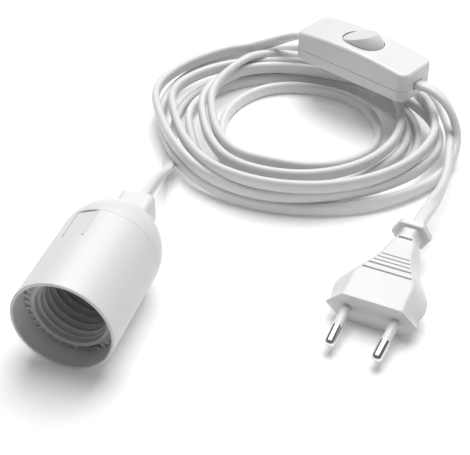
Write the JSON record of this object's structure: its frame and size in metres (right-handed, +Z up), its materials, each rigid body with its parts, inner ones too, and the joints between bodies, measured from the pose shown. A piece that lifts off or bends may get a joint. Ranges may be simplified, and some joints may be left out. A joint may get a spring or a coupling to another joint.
{
  "type": "lamp holder",
  "caption": "Screw-in lamp holder lying beside the coil of its flat white lead, with an inline rocker switch and a flat moulded plug.",
  "frame": {"origin": "on the table, under the middle of the lamp holder's bounding box", "axes": "+Z up; -Y out of the lamp holder's mouth, where the lamp goes in; +X to the right, towards the plug"},
  "size_m": [0.1449, 0.2268, 0.0416],
  "materials": {
    "white_shell": "satin",
    "white_inner": "satin",
    "white_sheath": "satin",
    "nickel_pin": "polished",
    "contact_brass": "satin",
    "zinc_steel": "satin",
    "core_brown": "satin",
    "core_blue": "satin"
  },
  "bodies": {
    "holder_set": {"holder_skirt": "white_shell", "holder_cap": "white_shell", "thread_insert": "white_inner", "contact_base": "white_inner", "side_contact": "contact_brass", "contact_rivets": "contact_brass", "terminal_live": "contact_brass", "terminal_neutral": "contact_brass", "terminal_screws": "zinc_steel", "cord_grip": "white_inner", "core_brown": "core_brown", "core_blue": "core_blue", "switch_base": "white_shell", "switch_cover": "white_shell", "rocker_pin": "zinc_steel", "detent_spring": "zinc_steel", "live_contact_in": "contact_brass", "live_contact_out": "contact_brass", "neutral_link": "contact_brass", "switch_terminal_screws": "zinc_steel", "cord_clamp_left": "white_inner", "cord_clamp_right": "white_inner", "clamp_screws": "zinc_steel", "cover_screws": "zinc_steel", "plug_body": "white_shell", "plug_pin_left": "nickel_pin", "plug_pin_right": "nickel_pin", "pin_sleeve_left": "white_inner", "pin_sleeve_right": "white_inner", "cord_coil": "white_sheath", "holder_lead": "white_sheath", "switch_feed_lead": "white_sheath", "switch_load_lead": "white_sheath", "plug_lead": "white_sheath"},
    "rocker": {"rocker": "white_shell", "rocker_bridge": "contact_brass"},
    "contact_leaf": {"centre_contact": "contact_brass"}
  },
  "joints": [
    {"name": "rocker_tilt", "type": "hinge", "parent": "holder_set", "child": "rocker", "pos_m": [0.0599, 0.1574, 0.03285], "axis": [0.4258, 0.9048, 0], "range_deg": [0, 42]},
    {"name": "contact_press", "type": "hinge", "parent": "holder_set", "child": "contact_leaf", "pos_m": [-0.00845, -0.00455, 0.0192], "axis": [0, 0, 1], "range_deg": [0, 6], "stiffness_Nm_per_rad": 0.1}
  ]
}
